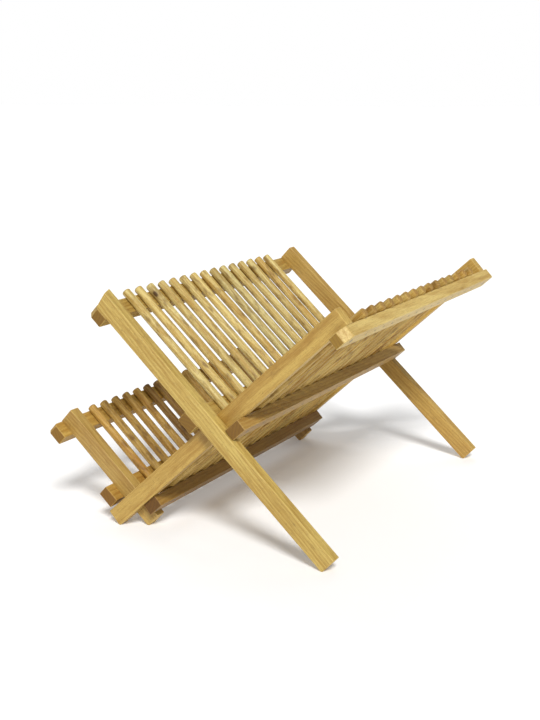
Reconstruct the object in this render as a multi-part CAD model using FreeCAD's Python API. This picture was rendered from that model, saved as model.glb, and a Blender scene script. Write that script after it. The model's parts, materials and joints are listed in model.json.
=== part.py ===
import FreeCAD, Part
import math
import os

# Folding wooden dish rack, standing open.
# Three ladder-like frames of square-cut slats and round dowels are pinned together:
#   main frame  - long legs leaning up to the right, the right wing of both troughs
#   plate wing  - long legs leaning up to the left, the left wing of the upper trough
#   cup wing    - short legs leaning up to the left, the left wing of the lower trough
# Millimetres. X runs from the cup side to the plate side, Y from front to back, Z up.
# The origin is on the table, in the middle of the rack's overall length and width.

# ---- driving dimensions -------------------------------------------------------------
LEAN_DEG = 42.7          # every leg leans this far above the table
SLAT_W = 18.0            # slat width: leg depth across its own frame, bar width
SLAT_T = 12.0            # slat thickness: leg thickness along Y, bar thickness
RACK_LENGTH = 400.0      # overall, front face to back face of the outermost legs
LEG_GAP = 0.4            # play between the legs of neighbouring frames

MAIN_LEG = 338.0
PLATE_LEG = 334.0
CUP_LEG = 142.0
UPPER_PIVOT = 166.0      # along a leg, from its foot, to the main / plate wing pivot
LOWER_PIVOT = 26.0       # along a leg, from its foot, to the main / cup wing pivot

DOWEL_D = 8.8
DOWEL_BED = 0.2          # the dowels are nailed down into a flat this deep
DOWEL_DOME = 2.4         # rounding of the dowel ends
DOWEL_TAIL = 1.0         # the lower end stops this far short of the bar's lower edge
# For each frame: how many dowels, the first one's Y, their pitch, and how far they
# stand past the leg ends.
MAIN_DOWELS = (15, -149.5, 20.8, 4.0)
PLATE_DOWELS = (15, -146.5, 21.0, 4.5)
CUP_DOWELS = (13, -126.5, 20.5, 1.8)

MAIN_BAR_HALF = 198.0    # half the length of the main frame's top and middle bars
MAIN_BOTTOM_HALF = 184.0 # and of its bottom bar, which is shorter
STOP_PLAY = 0.3          # gap left between the main frame's bars and the crossing legs
PLATE_BAR_LIFT = 1.0     # the wings' lower bars sit this much further from the pivots,
CUP_BAR_LIFT = 2.0       # so that the main frame's bars alone are the stops
BAR_TOP_DROP = 0.5       # top bars sit this far below the leg ends
FOOT_FLAT_DEPTH = 0.8    # how much of each foot corner is planed off, flat on the table
REACH = 1000.0           # further than any piece reaches, for the block that planes them

PIN_D = 5.0
PIN_HEAD_D = 9.0
PIN_HEAD_T = 2.0
PIN_PROUD = 0.3          # how far the head stands out of the wood
PIN_PLAY = 0.06          # radial, in the leg that turns
PIN_BLIND = 8.0          # how deep the pin goes into the outer leg
PIN_END_PLAY = 0.4       # left free past the pin's tip

NAIL_D = 2.0             # bar to leg
NAIL_HEAD_D = 4.2
NAIL_HEAD_T = 1.0
NAIL_LENGTH = 26.0
BRAD_D = 1.4             # bar to dowel
BRAD_HEAD_D = 2.6
BRAD_HEAD_T = 0.8
BRAD_LENGTH = 17.0
NAIL_PLAY = 0.03         # radial, round a nail in its hole
HEAD_PROUD = 0.15        # how far the nail and brad heads stand out of the wood

# The plate wing's front leg is sawn off out of square: how much longer it is at its
# inner edge than at its outer edge, and at its inner face than at its front face.
SKEW_WIDTH = 2.5
SKEW_THICKNESS = 3.9

# front upper corners sawn off the top bars
MAIN_TOP_CHAMFER = 8.0
PLATE_TOP_CHAMFER = 5.0
CUP_TOP_CHAMFER = 3.0

# ---- derived ------------------------------------------------------------------------
LEAN = math.radians(LEAN_DEG)
PLATE_Y = RACK_LENGTH / 2
MAIN_Y = PLATE_Y - SLAT_T - LEG_GAP
CUP_Y = MAIN_Y - SLAT_T - LEG_GAP
# A bar rests its outer lower corner on the crossing leg: distance from the pivot.
BAR_SEAT = SLAT_W / 2 / math.tan(LEAN) + SLAT_T / math.tan(2 * LEAN) + STOP_PLAY
Y_AXIS = FreeCAD.Vector(0, 1, 0)


class Frame:
    """Slanted frame coordinates: s along the leg from its foot corner, q inwards
    from the frame's outer (under) edge, y along the rack."""

    def __init__(self, lean_side, leg_length, pivot_s, pivot_x, half_width):
        self.along = FreeCAD.Vector(lean_side * math.cos(LEAN), 0, math.sin(LEAN))
        self.inward = FreeCAD.Vector(-lean_side * math.sin(LEAN), 0, math.cos(LEAN))
        self.leg_length = leg_length
        self.half_width = half_width
        middle = self.along * pivot_s + self.inward * (SLAT_W / 2)
        self.foot_x = pivot_x - middle.x

    def point(self, s, q, y=0.0):
        base = FreeCAD.Vector(self.foot_x, y, -FOOT_FLAT_DEPTH)
        return base + self.along * s + self.inward * q

    def slat(self, s0, s1, q0, q1, y0, y1):
        corners = [self.point(s, q, y0) for s, q in ((s0, q0), (s1, q0), (s1, q1), (s0, q1))]
        outline = Part.makePolygon(corners + corners[:1])
        return Part.Face(outline).extrude(FreeCAD.Vector(0, y1 - y0, 0))


def crossing_x(start_x, from_s, to_s):
    """X of a second pivot on the main leg, from the first one's X."""
    return start_x + (to_s - from_s) * math.cos(LEAN)


main = Frame(1, MAIN_LEG, UPPER_PIVOT, 0.0, MAIN_Y)
plate = Frame(-1, PLATE_LEG, UPPER_PIVOT, 0.0, PLATE_Y)
cup = Frame(-1, CUP_LEG, LOWER_PIVOT, crossing_x(0.0, UPPER_PIVOT, LOWER_PIVOT), CUP_Y)

TABLE = Part.makeBox(2 * REACH, 2 * REACH, REACH, FreeCAD.Vector(-REACH, -REACH, -REACH))


# ---- fasteners ----------------------------------------------------------------------
def headed_pin(start, direction, shank_d, length, head_d, head_t):
    """A headed pin: its flat head starts at start and it points along direction."""
    shank = Part.makeCylinder(shank_d / 2, length, start, direction)
    head = Part.makeCylinder(head_d / 2, head_t, start, direction)
    return shank.fuse(head).removeSplitter()


def nail_at(frame, s, y, grow=0.0):
    """A nail driven from the outer face of a bar, square through it into a leg."""
    start = frame.point(s, -SLAT_T - HEAD_PROUD, y)
    return headed_pin(start, frame.inward, NAIL_D + 2 * grow, NAIL_LENGTH + grow,
                      NAIL_HEAD_D + 2 * grow, NAIL_HEAD_T)


def brad_at(frame, s, y, grow=0.0):
    """A brad driven from the outer face of a bar, square through it into a dowel."""
    start = frame.point(s, -SLAT_T - HEAD_PROUD, y)
    return headed_pin(start, frame.inward, BRAD_D + 2 * grow, BRAD_LENGTH + grow,
                      BRAD_HEAD_D + 2 * grow, BRAD_HEAD_T)


def pivot_pin_at(axis_point, y_head, side, grow=0.0, extra=0.0):
    """A headed pivot pin through an inner leg, blind into the leg outside it.
    side is -1 for the front pair of legs, which it enters towards -Y."""
    start = FreeCAD.Vector(axis_point.x, y_head - side * PIN_PROUD, axis_point.z)
    length = PIN_PROUD + SLAT_T + LEG_GAP + PIN_BLIND + extra
    return headed_pin(start, Y_AXIS * side, PIN_D + 2 * grow, length,
                      PIN_HEAD_D + 2 * grow, PIN_HEAD_T)


# ---- wood ---------------------------------------------------------------------------
def make_leg(frame, side, skewed=False):
    """side is -1 for the front leg, 1 for the back one."""
    outer = side * frame.half_width
    inner = side * (frame.half_width - SLAT_T)
    spare = SLAT_T if skewed else 0.0
    leg = frame.slat(0, frame.leg_length + spare, 0, SLAT_W, min(outer, inner), max(outer, inner))
    if skewed:
        leg = saw_skewed(leg, frame, outer, inner)
    return leg.cut(TABLE)


def saw_skewed(leg, frame, outer, inner):
    """Saws a leg's top end off out of square; the end's middle stays where it is.
    outer and inner are the Y of the leg's two broad faces."""
    def end_point(across, through):
        """across and through run from 0 to 1 over the leg's width and thickness."""
        s = frame.leg_length + SKEW_WIDTH * (across - 0.5) + SKEW_THICKNESS * (through - 0.5)
        return frame.point(s, SLAT_W * across, outer + (inner - outer) * through)

    corners = [end_point(-1, -1), end_point(2, -1), end_point(2, 2), end_point(-1, 2)]
    waste = Part.Face(Part.makePolygon(corners + corners[:1]))
    return leg.cut(waste.extrude(frame.along * SLAT_W))


def make_bar(frame, s0, half_length, front_chamfer=0.0):
    """A cross-bar on the frame's outer side, with its front upper corner sawn off."""
    bar = frame.slat(s0, s0 + SLAT_W, -SLAT_T, 0, -half_length, half_length)
    if front_chamfer:
        s1 = s0 + SLAT_W
        corners = [frame.point(s1, -SLAT_T, -half_length + front_chamfer),
                   frame.point(s1, -SLAT_T, -half_length),
                   frame.point(s1 - front_chamfer, -SLAT_T, -half_length)]
        wedge = Part.Face(Part.makePolygon(corners + corners[:1]))
        bar = bar.cut(wedge.extrude(frame.inward * SLAT_T))
    return bar


def make_dowel(frame, s0, s1, y):
    """A dowel with rounded ends, lying on the inner faces of the bars."""
    radius = DOWEL_D / 2
    start = frame.point(s0, radius - DOWEL_BED, y)
    rod = Part.makeCylinder(radius, s1 - s0, start, frame.along)
    rims = [edge for edge in rod.Edges if isinstance(edge.Curve, Part.Circle)]
    return rod.makeFillet(DOWEL_DOME, rims)


def near(cutters, shape):
    """The cutters whose boxes meet the shape's box."""
    return [cutter for cutter in cutters if cutter.BoundBox.intersect(shape.BoundBox)]


def build_frame(name, frame, bars, dowels):
    """bars maps a bar's name to (lower edge s, half length, front chamfer)."""
    made = {}
    bar_solids = {key: make_bar(frame, *spec) for key, spec in bars.items()}
    leg_solids = {"front": make_leg(frame, -1, name == "plate_wing"), "back": make_leg(frame, 1)}
    count, first_y, pitch, proud = dowels
    rows = [first_y + i * pitch for i in range(count)]
    s_low = min(spec[0] for spec in bars.values()) + DOWEL_TAIL
    s_top = frame.leg_length + proud
    leg_y = frame.half_width - SLAT_T / 2

    nails = []
    holes = []
    for s0, _half_length, _front_chamfer in bars.values():
        middle = s0 + SLAT_W / 2
        for y in (-leg_y, leg_y):
            nails.append(nail_at(frame, middle, y))
            holes.append(nail_at(frame, middle, y, NAIL_PLAY))
        for y in rows:
            nails.append(brad_at(frame, middle, y))
            holes.append(brad_at(frame, middle, y, NAIL_PLAY))

    for key, bar in bar_solids.items():
        made[f"{name}_bar_{key}"] = bar.cut(near(holes, bar))
    for key, leg in leg_solids.items():
        made[f"{name}_leg_{key}"] = leg.cut(near(holes, leg))
    for number, y in enumerate(rows, 1):
        dowel = make_dowel(frame, s_low, s_top, y).cut(list(bar_solids.values()))
        made[f"{name}_dowel_{number:02d}"] = dowel.cut(near(holes, dowel))
    made[f"{name}_nails"] = Part.makeCompound(nails)
    return made


# ---- the three frames ---------------------------------------------------------------
def top_seat(frame):
    return frame.leg_length - BAR_TOP_DROP - SLAT_W


upper_seat = UPPER_PIVOT + BAR_SEAT
lower_seat = LOWER_PIVOT + BAR_SEAT
main_bars = {
    "top": (top_seat(main), MAIN_BAR_HALF, MAIN_TOP_CHAMFER),
    "middle": (upper_seat, MAIN_BAR_HALF, 0.0),
    "bottom": (lower_seat, MAIN_BOTTOM_HALF, 0.0),
}
plate_bars = {
    "top": (top_seat(plate), PLATE_Y, PLATE_TOP_CHAMFER),
    "lower": (upper_seat + PLATE_BAR_LIFT, PLATE_Y, 0.0),
}
cup_bars = {
    "top": (top_seat(cup), MAIN_Y, CUP_TOP_CHAMFER),
    "lower": (lower_seat + CUP_BAR_LIFT, MAIN_Y, 0.0),
}
nodes = {}
nodes.update(build_frame("main", main, main_bars, MAIN_DOWELS))
nodes.update(build_frame("plate_wing", plate, plate_bars, PLATE_DOWELS))
nodes.update(build_frame("cup_wing", cup, cup_bars, CUP_DOWELS))

# ---- pivots -------------------------------------------------------------------------
# All four pins are held by the main frame's legs. The upper ones go through them into
# the plate wing's legs, the lower ones come through the cup wing's legs into them.
upper = main.point(UPPER_PIVOT, SLAT_W / 2)
lower = main.point(LOWER_PIVOT, SLAT_W / 2)
pins = []
for side, end in ((-1, "front"), (1, "back")):
    upper_head = side * (MAIN_Y - SLAT_T)
    lower_head = side * (CUP_Y - SLAT_T)
    pins.append(pivot_pin_at(upper, upper_head, side))
    pins.append(pivot_pin_at(lower, lower_head, side))
    tight = [pivot_pin_at(upper, upper_head, side, NAIL_PLAY, PIN_END_PLAY),
             pivot_pin_at(lower, lower_head, side, NAIL_PLAY, PIN_END_PLAY)]
    loose = [pivot_pin_at(upper, upper_head, side, PIN_PLAY, PIN_END_PLAY),
             pivot_pin_at(lower, lower_head, side, PIN_PLAY, PIN_END_PLAY)]
    nodes[f"main_leg_{end}"] = nodes[f"main_leg_{end}"].cut(tight)
    nodes[f"plate_wing_leg_{end}"] = nodes[f"plate_wing_leg_{end}"].cut(loose[0])
    nodes[f"cup_wing_leg_{end}"] = nodes[f"cup_wing_leg_{end}"].cut(loose[1])
nodes["pivot_pins"] = Part.makeCompound(pins)

# ---- move the origin to the middle of the rack, and write the files -----------------
whole = Part.makeCompound(list(nodes.values())).BoundBox
to_middle = FreeCAD.Vector(-whole.Center.x, 0, 0)
os.makedirs("parts", exist_ok=True)
for name, shape in nodes.items():
    shape.translate(to_middle)
    shape.exportStep(f"parts/{name}.step")

print("nodes", len(nodes), "overall", whole.XLength, whole.YLength, whole.ZLength)
print("upper pivot", upper + to_middle)
print("lower pivot", lower + to_middle)
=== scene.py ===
import json
import math
import random

import bmesh
import bpy
from mathutils import Matrix, Vector

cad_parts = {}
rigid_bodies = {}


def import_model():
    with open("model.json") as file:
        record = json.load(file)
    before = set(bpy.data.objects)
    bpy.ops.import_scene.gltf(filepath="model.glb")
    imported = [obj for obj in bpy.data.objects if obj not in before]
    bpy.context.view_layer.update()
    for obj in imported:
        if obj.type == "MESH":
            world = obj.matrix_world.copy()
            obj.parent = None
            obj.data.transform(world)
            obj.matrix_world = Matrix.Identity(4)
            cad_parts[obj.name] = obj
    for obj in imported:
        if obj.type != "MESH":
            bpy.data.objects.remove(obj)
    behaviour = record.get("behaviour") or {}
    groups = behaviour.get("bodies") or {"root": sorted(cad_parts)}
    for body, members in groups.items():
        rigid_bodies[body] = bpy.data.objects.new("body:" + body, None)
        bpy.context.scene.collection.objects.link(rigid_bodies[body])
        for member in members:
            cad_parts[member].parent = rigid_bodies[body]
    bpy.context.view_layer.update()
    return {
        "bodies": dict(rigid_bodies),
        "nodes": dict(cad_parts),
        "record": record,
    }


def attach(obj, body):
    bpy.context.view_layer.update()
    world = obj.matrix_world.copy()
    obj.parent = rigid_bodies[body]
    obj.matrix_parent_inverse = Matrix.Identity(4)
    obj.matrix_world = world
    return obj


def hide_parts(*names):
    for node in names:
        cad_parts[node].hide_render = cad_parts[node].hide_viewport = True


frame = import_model()

LEAN = math.radians(42.7)      # how far every leg leans above the table
EDGE = 0.0007                  # radius of the eased edges of a slat
EDGE_STEPS = 3
DOME = 0.0018                  # rounding of the dowel ends
DOME_STEPS = 6
DOWEL_SIDES = 36
Y = Vector((0, 1, 0))

# Front upper corners sawn off the top bars.
SAWN = {"main_bar_top": 0.008, "plate_wing_bar_top": 0.005, "cup_wing_bar_top": 0.003}

# The leg whose top end is sawn off out of square: how much shorter it is at its outer edge
# than at its inner edge, and at its front face than at its inner face.
SKEWED = {"plate_wing_leg_front": (0.0025, 0.0039)}
SQUARE = (0.0, 0.0)

# The dowel with a knot, on its front side: how far the knot is from the dowel's top, and
# from its middle line inwards and along Y.
KNOTTY = "plate_wing_dowel_03"
KNOT_BELOW_TOP = 0.013
KNOT_INWARD = 0.0014
KNOT_ALONG_Y = -0.0041

# Each piece is its own shade of the same wood: how far they spread in tone and in warmth.
TONE_SPREAD = 0.05
WARMTH_SPREAD = 0.02

# Each piece is its own cut of wood: how far from the tree's middle it was, how much its
# grain runs out to the sides, and how far apart the pieces lie in the noise.
PITH_NEAR, PITH_FAR = 0.025, 0.07
RUN_OUT = 0.06
NOISE_SHIFT = 3

# Cycles of noise per metre, along and across the grain.
WAVER = (9, 45, 45)
BROAD = (5, 40, 40)
STREAK = (14, 300, 300)
FINE = (70, 1500, 1500)
BLOTCH = (60, 170, 170)
SWELL = (30, 130, 130)
DASH = (330, 2300, 2300)
PORE = (900, 2600, 2600)

# How strongly each of them, the rings, a knot and a worn edge show in the colour.
RING_SHARE = 0.44
STREAK_SHARE = 0.52
BROAD_SHARE = 0.26
FINE_SHARE = 0.30
FLECK_DEPTH = 0.50
END_RING_SHARE = 0.6
END_PORE_SHARE = 0.3
EDGE_WEAR = 0.55
KNOT_DEPTH = 0.95
KNOT_HALO_DEPTH = 0.45
KNOT_CORE = (0.04, 0.014, 0.002, 1.0)

# Colours that single pieces and rows of dowels are multiplied by, darker, redder or paler than the
# rest.
# Some are the wood's own tone; the ones marked below are painted shade or a painted sheen.
TONES_AND_PAINTED_SHADE = {
    "main_leg_front": (0.80, 0.75, 0.63),
    "main_leg_back": (0.90, 0.86, 0.78),
    # main_bar_top is paler and bluer: partly its own tone, partly a painted sheen for the white
    # floor's reflection on it
    "main_bar_top": (1.18, 1.21, 1.38),
    # painted shade in part: main_bar_middle is darkened for the shadow on its upper face, and made
    # redder
    "main_bar_middle": (0.84, 0.75, 0.68),
    # painted shade: main_bar_bottom is darkened for the shadow it lies in
    "main_bar_bottom": (0.52, 0.42, 0.30),
    "plate_wing_leg_front": (0.92, 0.96, 0.94),
    "plate_wing_leg_back": (0.86, 0.77, 0.64),
    "plate_wing_bar_top": (0.82, 0.77, 0.66),
    "plate_wing_bar_lower": (0.86, 0.80, 0.68),
    "cup_wing_bar_top": (0.88, 0.78, 0.60),
    "cup_wing_bar_lower": (0.82, 0.70, 0.52),
    "cup_wing_leg_front": (0.84, 0.76, 0.66),
    # painted shade: the cup wing's back leg is darkened for the shadow over its foot
    "cup_wing_leg_back": (0.60, 0.50, 0.38),
    # painted shade: these two cup wing dowels are darkened for the cups' shadow on them
    "cup_wing_dowel_06": (0.40, 0.31, 0.20),
    "cup_wing_dowel_07": (0.48, 0.38, 0.25),
}
ROW_TONES_AND_PAINTED_SHADE = {
    # painted shade in part: the main dowels are darkened for the shade on the rods' outer sides
    "main_dowel": (0.80, 0.72, 0.55),
    "plate_wing_dowel": (0.87, 0.91, 0.93),
    # painted shade: the row of cup wing dowels is darkened for the cups' shadow on it
    "cup_wing_dowel": (0.72, 0.61, 0.42),
}
LEG_END = (1.10, 1.08, 1.04)      # painted light: the legs' sawn top ends are made paler than their faces, for the light on them
LEG_END_GRAIN = 0.2               # and show little of the pores

# Floor and sky of the studio.
FLOOR_REACH = 40
FLOOR_GREY = 0.88
FLOOR_GLOW = 0.12
HORIZON_LIGHT = 1.0
OVERHEAD_LIGHT = 0.24
FADE_FROM, FADE_TO = 0.08, 0.16   # heights, as sines, between which the sky dims

# Camera.
LENS = 58.69
CAMERA_AT = (0.57712, -1.10258, 0.42302)
AZIMUTH = math.radians(28.17)
ELEVATION = math.radians(12.71)


# ---- shapes -------------------------------------------------------------------------
def slanted_axes(body):
    """(along the legs, inwards across them) in a body's slanted frame."""
    side = 1 if body == "main_frame" else -1
    along = Vector((side * math.cos(LEAN), 0, math.sin(LEAN)))
    inward = Vector((-side * math.sin(LEAN), 0, math.cos(LEAN)))
    return along, inward


def place_of(node, length_axis, width_axis):
    """The matrix of a node's middle, with X along its grain and Y across its width,
    and its three half sizes, read from the node's own vertices."""
    turn = Matrix((length_axis, width_axis, length_axis.cross(width_axis)))
    points = [turn @ v.co for v in frame["nodes"][node].data.vertices]
    low = Vector([min(p[i] for p in points) for i in range(3)])
    high = Vector([max(p[i] for p in points) for i in range(3)])
    turn.transpose()
    middle = turn @ ((low + high) / 2)
    return Matrix.Translation(middle) @ turn.to_4x4(), (high - low) / 2


def cut(bm, point, keep):
    """Cuts the closed mesh by a plane, keeps the side that keep points to, and caps it."""
    geometry = bm.verts[:] + bm.edges[:] + bm.faces[:]
    made = bmesh.ops.bisect_plane(bm, geom=geometry, plane_co=point, plane_no=keep,
                                  clear_inner=True)
    rim = [e for e in made["geom_cut"] if isinstance(e, bmesh.types.BMEdge)]
    bmesh.ops.contextual_create(bm, geom=rim)


def end_at(point, half, skew):
    """How far from the middle the slat's nearer end lies along X, beside the point."""
    if point.x < 0:
        return half.x
    return half.x - skew[0] * (1 - point.y / half.y) / 2 - skew[1] * (1 - point.z / half.z) / 2


def slat_mesh(name, place, half, sawn, skew, stands):
    """A slat with eased edges. sawn is the length cut from the corner at its front upper
    end, and skew is how far its top end is out of square. One that stands on the table
    has its foot corner planed flat."""
    bm = bmesh.new()
    bmesh.ops.create_cube(bm, size=2)
    bmesh.ops.scale(bm, vec=half, verts=bm.verts)
    for vertex in bm.verts:
        vertex.co.x = math.copysign(end_at(vertex.co, half, skew), vertex.co.x)
    if sawn:
        cut(bm, Vector((sawn / 2 - half.x, half.y - sawn / 2, 0)), Vector((1, -1, 0)))
    if stands:
        table = Vector((place.translation.x, place.translation.y, 0))
        to_local = place.inverted()
        cut(bm, to_local @ table, to_local.to_3x3() @ Vector((0, 0, 1)))
    bmesh.ops.bevel(bm, geom=bm.edges[:], offset=EDGE, segments=EDGE_STEPS, profile=0.5,
                    affect="EDGES", clamp_overlap=True)
    return finish_mesh(name, bm)


def dowel_mesh(name, half):
    """A round rod along X with rounded ends."""
    radius = half.y
    end = [(half.x, (radius - DOME) / 2)]
    for i in range(DOME_STEPS + 1):
        a = math.pi / 2 * i / DOME_STEPS
        end.append((half.x - DOME * (1 - math.cos(a)), radius - DOME * (1 - math.sin(a))))
    outline = [(-x, r) for x, r in end] + end[::-1]
    bm = bmesh.new()
    turns = [2 * math.pi * k / DOWEL_SIDES for k in range(DOWEL_SIDES)]
    loops = []
    for x, r in outline:
        loops.append([bm.verts.new((x, r * math.cos(a), r * math.sin(a))) for a in turns])
    for a, b in zip(loops, loops[1:]):
        for k in range(DOWEL_SIDES):
            bm.faces.new((a[k], a[k - 1], b[k - 1], b[k]))
    for loop in (loops[0], loops[-1]):
        tip = bm.verts.new((loop[0].co.x, 0, 0))
        for k in range(DOWEL_SIDES):
            bm.faces.new((tip, loop[k], loop[k - 1]))
    return finish_mesh(name, bm)


def finish_mesh(name, bm):
    """Turns the shape being built into a mesh, smoothly shaded."""
    bmesh.ops.recalc_face_normals(bm, faces=bm.faces)
    mesh = bpy.data.meshes.new(name)
    bm.to_mesh(mesh)
    bm.free()
    mesh.shade_smooth()
    return mesh


# ---- what each piece of wood carries for its material ------------------------------------
def clamp01(value):
    return min(1.0, max(0.0, value))


def write_attribute(mesh, name, kind, values):
    """Gives the mesh one value per vertex for its material to read."""
    layer = mesh.attributes.new(name, kind, "POINT")
    key = {"FLOAT": "value", "FLOAT_VECTOR": "vector", "FLOAT_COLOR": "color"}[kind]
    flat = values if kind == "FLOAT" else [x for v in values for x in v]
    layer.data.foreach_set(key, flat)


def give_grain(mesh, half, round_piece, skew, end_depth, tint, end_tint, knot, rng):
    """Writes what a piece's material reads, so that each piece has its own cut of wood.
    rings is measured from the tree's middle, knot from a knot's middle, and fibre is for
    the fine grain; tint is the colour the piece is multiplied by, painted shade for some pieces
    and painted light at the legs' ends, and end_grain and edge say how much a place is a cut end or
    a worn edge."""
    points = [v.co.copy() for v in mesh.vertices]
    pith_turn = rng.uniform(0, 2 * math.pi)
    pith_off = rng.uniform(PITH_NEAR, PITH_FAR)
    pith = Vector((0, pith_off * math.cos(pith_turn), pith_off * math.sin(pith_turn)))
    slope = Vector((0, rng.uniform(-RUN_OUT, RUN_OUT), rng.uniform(-RUN_OUT, RUN_OUT)))
    offset = Vector([rng.uniform(-NOISE_SHIFT, NOISE_SHIFT) for _ in range(3)])
    knot_at = knot if knot else Vector((9, 9, 9))      # so far off that it never shows
    write_attribute(mesh, "rings", "FLOAT_VECTOR", [p + pith + slope * p.x for p in points])
    write_attribute(mesh, "fibre", "FLOAT_VECTOR", [p + offset for p in points])
    write_attribute(mesh, "knot", "FLOAT_VECTOR", [p - knot_at for p in points])
    ends, edges, tints = [], [], []
    for p, vertex in zip(points, mesh.vertices):
        if round_piece:
            ends.append(end_depth * clamp01((abs(vertex.normal.x) - 0.35) * 2.5))
            edges.append(0.0)
            tints.append((*tint, 1.0))
        else:
            reach = (end_at(p, half, skew), half.y, half.z)
            depth = [clamp01((abs(p[i]) - reach[i]) / EDGE + 1) for i in range(3)]
            at_end = clamp01(depth[0] * 2.5 - 1.4)
            ends.append(end_depth * at_end)
            edges.append(clamp01(1.6 * sorted(depth)[1]))
            # at a leg's end the tint turns to LEG_END, painted light
            tints.append((*Vector(tint).lerp(Vector(end_tint), at_end), 1.0))
    write_attribute(mesh, "tint", "FLOAT_COLOR", tints)
    write_attribute(mesh, "end_grain", "FLOAT", ends)
    write_attribute(mesh, "edge", "FLOAT", edges)


# ---- materials ------------------------------------------------------------------------
def srgb(red, green, blue):
    """Linear colour from the usual 0 to 255 screen values."""
    def linear(v):
        v /= 255
        return v / 12.92 if v <= 0.04045 else ((v + 0.055) / 1.055) ** 2.4
    return (linear(red), linear(green), linear(blue), 1.0)


class Tree:
    """Short names for building a material's nodes."""

    def __init__(self, name):
        self.material = bpy.data.materials.new(name)
        self.material.use_nodes = True
        self.nodes = self.material.node_tree.nodes
        self.links = self.material.node_tree.links
        self.nodes.clear()

    def node(self, kind, inputs=None, **settings):
        node = self.nodes.new(kind)
        for key, value in settings.items():
            setattr(node, key, value)
        for key, value in (inputs or {}).items():
            if isinstance(value, bpy.types.NodeSocket):
                self.links.new(value, node.inputs[key])
            else:
                node.inputs[key].default_value = value
        return node

    def attribute(self, name, output="Vector"):
        return self.node("ShaderNodeAttribute", attribute_name=name).outputs[output]

    def vector(self, operation, a, b, output="Vector"):
        key = "Scale" if operation == "SCALE" else 1
        return self.node("ShaderNodeVectorMath", {0: a, key: b}, operation=operation).outputs[output]

    def math(self, operation, a, b=0.0, clamp=False):
        return self.node("ShaderNodeMath", {0: a, 1: b}, operation=operation,
                         use_clamp=clamp).outputs[0]

    def noise(self, coordinates, stretch, detail=2.0, output="Fac"):
        place = self.vector("MULTIPLY", coordinates, stretch)
        return self.node("ShaderNodeTexNoise", {"Vector": place, "Scale": 1.0, "Detail": detail},
                         noise_dimensions="3D").outputs[output]

    def ramp(self, value, low, high, to_low=0.0, to_high=1.0):
        return self.node("ShaderNodeMapRange",
                         {"Value": value, "From Min": low, "From Max": high,
                          "To Min": to_low, "To Max": to_high},
                         interpolation_type="SMOOTHSTEP").outputs[0]

    def mix(self, factor, a, b, blend="MIX"):
        node = self.node("ShaderNodeMix", data_type="RGBA", blend_type=blend)
        for key, value in ((0, factor), (6, a), (7, b)):
            if isinstance(value, bpy.types.NodeSocket):
                self.links.new(value, node.inputs[key])
            else:
                node.inputs[key].default_value = value
        return node.outputs[2]

    def surface(self, inputs):
        shader = self.node("ShaderNodeBsdfPrincipled", inputs)
        output = self.node("ShaderNodeOutputMaterial")
        self.links.new(shader.outputs[0], output.inputs["Surface"])
        return self.material


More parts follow.
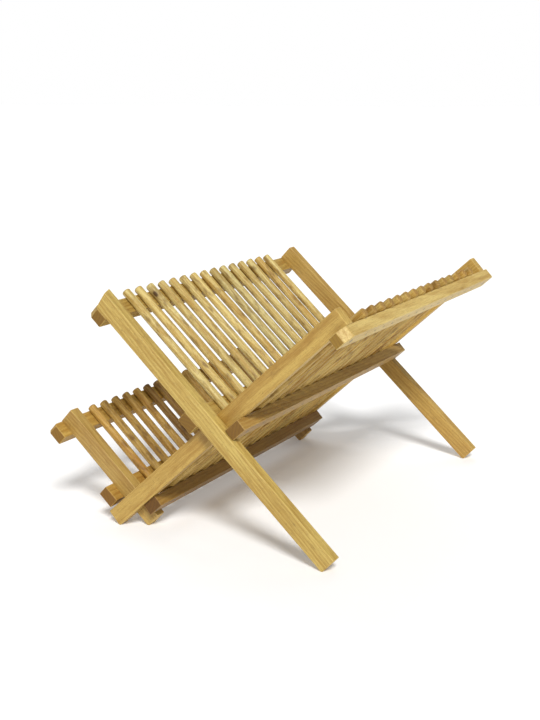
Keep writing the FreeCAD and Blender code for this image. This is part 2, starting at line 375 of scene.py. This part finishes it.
def wood(name, pale, late, brown, end, ring_width, mottle_cover, mottle_depth, gloss):
    """Bare wood that runs from pale to late colour over each growth ring, with brown
    blotches and flecks, and end colour where it is cut across."""
    t = Tree(name)
    fibre = t.attribute("fibre")
    knot_far = t.vector("LENGTH", t.vector("MULTIPLY", t.attribute("knot"), (0.55, 1, 1)),
                        (0, 0, 0), "Value")
    knot = t.ramp(knot_far, 0.0010, 0.0030, 1.0, 0.0)
    knot_halo = t.ramp(knot_far, 0.002, 0.009, 1.0, 0.0)

    # growth rings round the tree's middle, wavering along the grain
    waver = t.vector("SUBTRACT", t.noise(fibre, WAVER, 2.0, "Color"), (0.5, 0.5, 0.5))
    bent = t.vector("ADD", t.attribute("rings"), t.vector("SCALE", waver, 0.005))
    radius = t.vector("LENGTH", t.vector("MULTIPLY", bent, (0, 1, 1)), (0, 0, 0), "Value")
    radius = t.math("ADD", radius, t.math("MULTIPLY", knot_halo, 0.003))
    turn = t.math("FRACT", t.math("DIVIDE", radius, ring_width))
    ring = t.math("MULTIPLY", t.ramp(turn, 0.15, 0.80), t.ramp(turn, 0.84, 1.0, 1.0, 0.0))

    # broad streaks, fibres, soft blotches and short dark flecks, all drawn out along the grain
    broad = t.noise(fibre, BROAD, 2.0)
    streak = t.noise(fibre, STREAK, 3.0)
    fine = t.noise(fibre, FINE, 3.0)
    blotch = t.noise(fibre, BLOTCH, 3.0)
    mottle = t.ramp(blotch, mottle_cover, mottle_cover + 0.22)
    dash = t.noise(fibre, DASH, 1.0)
    flecks = t.ramp(dash, 0.60, 0.72)

    shade = t.math("MULTIPLY", ring, RING_SHARE)
    shade = t.math("ADD", shade, t.ramp(streak, 0.28, 0.72, 0.0, STREAK_SHARE))
    shade = t.math("ADD", shade, t.ramp(broad, 0.30, 0.70, -BROAD_SHARE, BROAD_SHARE))
    shade = t.math("ADD", shade, t.ramp(fine, 0.28, 0.72, -FINE_SHARE, FINE_SHARE), clamp=True)
    colour = t.mix(shade, pale, late)
    colour = t.mix(t.math("MULTIPLY", mottle, mottle_depth), colour, brown)
    colour = t.mix(t.math("MULTIPLY", flecks, FLECK_DEPTH), colour, brown)

    # the ends, where the fibres are cut across
    end_grain = t.attribute("end_grain", "Fac")
    pores = t.noise(fibre, PORE, 2.0)
    end_shade = t.math("ADD", t.math("MULTIPLY", ring, END_RING_SHARE),
                       t.ramp(pores, 0.35, 0.7, 0.0, END_PORE_SHARE), clamp=True)
    colour = t.mix(end_grain, colour, t.mix(end_shade, end, t.mix(0.55, end, brown)))
    colour = t.mix(t.math("MULTIPLY", t.attribute("edge", "Fac"), EDGE_WEAR), colour, pale)
    colour = t.mix(t.math("MULTIPLY", knot_halo, KNOT_HALO_DEPTH), colour, brown)
    core = t.mix(0.75, brown, KNOT_CORE)
    colour = t.mix(t.math("MULTIPLY", knot, KNOT_DEPTH), colour, core)
    # tint multiplies the colour; for some pieces it is painted shade, and at the legs' ends painted
    # light
    colour = t.mix(1.0, colour, t.attribute("tint", "Color"), "MULTIPLY")

    rough = t.math("ADD", t.ramp(fine, 0.2, 0.8, 0.46, 0.60), t.math("MULTIPLY", end_grain, 0.2))
    height = t.math("ADD", t.math("MULTIPLY", fine, 0.5), t.math("MULTIPLY", ring, -0.25))
    height = t.math("ADD", height, t.math("MULTIPLY", flecks, -0.4))
    height = t.math("ADD", height, t.math("MULTIPLY", t.noise(fibre, SWELL, 1.0), 0.8))
    height = t.math("ADD", height, t.math("MULTIPLY", t.math("MULTIPLY", pores, end_grain), -0.4))
    bump = t.node("ShaderNodeBump", {"Strength": 0.55, "Distance": 0.0004, "Height": height})
    return t.surface({"Base Color": colour, "Roughness": rough, "Normal": bump.outputs[0],
                      "Specular IOR Level": gloss})


def steel(name, bright, dull):
    """Steel with dull spots."""
    t = Tree(name)
    place = t.node("ShaderNodeTexCoord").outputs["Object"]
    spots = t.noise(place, (700, 700, 700), 3.0)
    colour = t.mix(t.ramp(spots, 0.3, 0.7), bright, dull)
    rough = t.ramp(spots, 0.3, 0.7, 0.32, 0.55)
    bump = t.node("ShaderNodeBump", {"Strength": 0.3, "Distance": 0.0001, "Height": spots})
    return t.surface({"Base Color": colour, "Metallic": 1.0, "Roughness": rough,
                      "Normal": bump.outputs[0]})


slat_wood = wood("slat_wood", pale=srgb(202, 174, 98), late=srgb(170, 134, 62),
                 brown=srgb(112, 76, 28), end=srgb(138, 104, 30), ring_width=0.0034,
                 mottle_cover=0.60, mottle_depth=0.45, gloss=0.5)
dowel_wood = wood("dowel_wood", pale=srgb(222, 198, 128), late=srgb(182, 144, 70),
                  brown=srgb(110, 74, 26), end=srgb(186, 154, 92), ring_width=0.0026,
                  mottle_cover=0.50, mottle_depth=0.65, gloss=0.3)
bright_steel = steel("bright_steel", srgb(150, 146, 138), srgb(96, 88, 76))

# ---- the rack -------------------------------------------------------------------------
rng = random.Random(41)


def tint_of(node):
    """The piece's tint: its listed colour, painted shade for some pieces, at a random tone."""
    tone = rng.gauss(1.0, TONE_SPREAD)
    warm = rng.gauss(0.0, WARMTH_SPREAD)
    tone_and_shade = TONES_AND_PAINTED_SHADE[node] if node in TONES_AND_PAINTED_SHADE else ROW_TONES_AND_PAINTED_SHADE[node[:-3]]
    shade = (tone * (1 + warm), tone, tone * (1 - 2 * warm))
    return tuple(a * b for a, b in zip(shade, tone_and_shade))


def knot_of(node, half):
    """The knot's middle in the piece's own coordinates, or None for a clear piece."""
    if node != KNOTTY:
        return None
    return Vector((half.x - KNOT_BELOW_TOP, KNOT_INWARD, KNOT_ALONG_Y))


for body in frame["bodies"]:
    along, inward = slanted_axes(body)
    for node in frame["record"]["behaviour"]["bodies"][body]:
        if node.endswith("_nails") or node == "pivot_pins":
            for slot in frame["nodes"][node].material_slots:
                slot.material = bright_steel
            continue
        name = node + "_wood"
        is_dowel = "_dowel_" in node
        is_leg = "_leg_" in node
        skew = SKEWED.get(node, SQUARE)
        if "_bar_" in node:
            place, half = place_of(node, Y, along)
        else:
            place, half = place_of(node, along, inward)
        if is_dowel:
            mesh = dowel_mesh(name, half)
        else:
            mesh = slat_mesh(name, place, half, SAWN.get(node, 0.0), skew, stands=is_leg)
        # tint carries painted shade for some pieces, and the legs' ends get LEG_END, painted light
        tint = tint_of(node)
        give_grain(mesh, half, is_dowel, skew, LEG_END_GRAIN if is_leg else 1.0, tint,
                   LEG_END if is_leg else tint, knot_of(node, half), rng)
        mesh.materials.append(dowel_wood if is_dowel else slat_wood)
        piece = bpy.data.objects.new(name, mesh)
        bpy.context.scene.collection.objects.link(piece)
        piece.matrix_world = place
        if not is_dowel:
            piece.modifiers.new("even_shading", "WEIGHTED_NORMAL")
        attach(piece, body)
        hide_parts(node)

# ---- floor, light, camera -------------------------------------------------------------
floor_tree = Tree("floor")
floor_paint = floor_tree.surface({"Base Color": (FLOOR_GREY, FLOOR_GREY, FLOOR_GREY, 1),
                                  "Roughness": 0.9, "Specular IOR Level": 0.0,
                                  "Emission Color": (1.0, 1.0, 1.0, 1),
                                  "Emission Strength": FLOOR_GLOW})
floor_mesh = bpy.data.meshes.new("floor")
corners = [(-FLOOR_REACH, -FLOOR_REACH, 0), (FLOOR_REACH, -FLOOR_REACH, 0),
           (FLOOR_REACH, FLOOR_REACH, 0), (-FLOOR_REACH, FLOOR_REACH, 0)]
floor_mesh.from_pydata(corners, [], [(0, 1, 2, 3)])
floor_mesh.materials.append(floor_paint)
floor = bpy.data.objects.new("floor", floor_mesh)
bpy.context.scene.collection.objects.link(floor)

# A studio: white all round at the horizon and dimmer overhead, with two broad lamps, one
# high on the camera's side and a weaker one behind the rack.
world = bpy.data.worlds.new("studio")
world.use_nodes = True
sky = world.node_tree
direction = sky.nodes.new("ShaderNodeTexCoord").outputs["Generated"]
height = sky.nodes.new("ShaderNodeSeparateXYZ")
sky.links.new(direction, height.inputs[0])
fade = sky.nodes.new("ShaderNodeMapRange")
fade.inputs["From Min"].default_value = FADE_FROM
fade.inputs["From Max"].default_value = FADE_TO
fade.inputs["To Min"].default_value = HORIZON_LIGHT
fade.inputs["To Max"].default_value = OVERHEAD_LIGHT
sky.links.new(height.outputs["Z"], fade.inputs["Value"])
sky.links.new(fade.outputs[0], sky.nodes["Background"].inputs["Strength"])
sky.nodes["Background"].inputs["Color"].default_value = (1.0, 1.0, 1.0, 1)
bpy.context.scene.world = world
bpy.context.scene.view_settings.view_transform = "Standard"


def lamp(name, strength, spread, travel):
    """A studio lamp so far off that its light is even. spread is how wide it looks, in
    degrees, and it shines along travel."""
    data = bpy.data.lights.new(name, "SUN")
    data.energy = strength
    data.angle = math.radians(spread)
    made = bpy.data.objects.new(name, data)
    bpy.context.scene.collection.objects.link(made)
    made.rotation_euler = Vector(travel).to_track_quat("-Z", "Y").to_euler()


lamp("key", strength=3.1, spread=15, travel=(-0.42, 0.58, -0.70))
lamp("fill", strength=0.9, spread=45, travel=(0.50, -0.60, -0.60))

camera_data = bpy.data.cameras.new("camera")
camera_data.lens = LENS
camera_data.sensor_width = 36.0
camera_data.clip_start = 0.05
camera_data.clip_end = 100.0
camera = bpy.data.objects.new("camera", camera_data)
bpy.context.scene.collection.objects.link(camera)
camera.location = CAMERA_AT
sight = Vector((-math.sin(AZIMUTH) * math.cos(ELEVATION),
                math.cos(AZIMUTH) * math.cos(ELEVATION), -math.sin(ELEVATION)))
camera.rotation_euler = sight.to_track_quat("-Z", "Y").to_euler()
bpy.context.scene.camera = camera
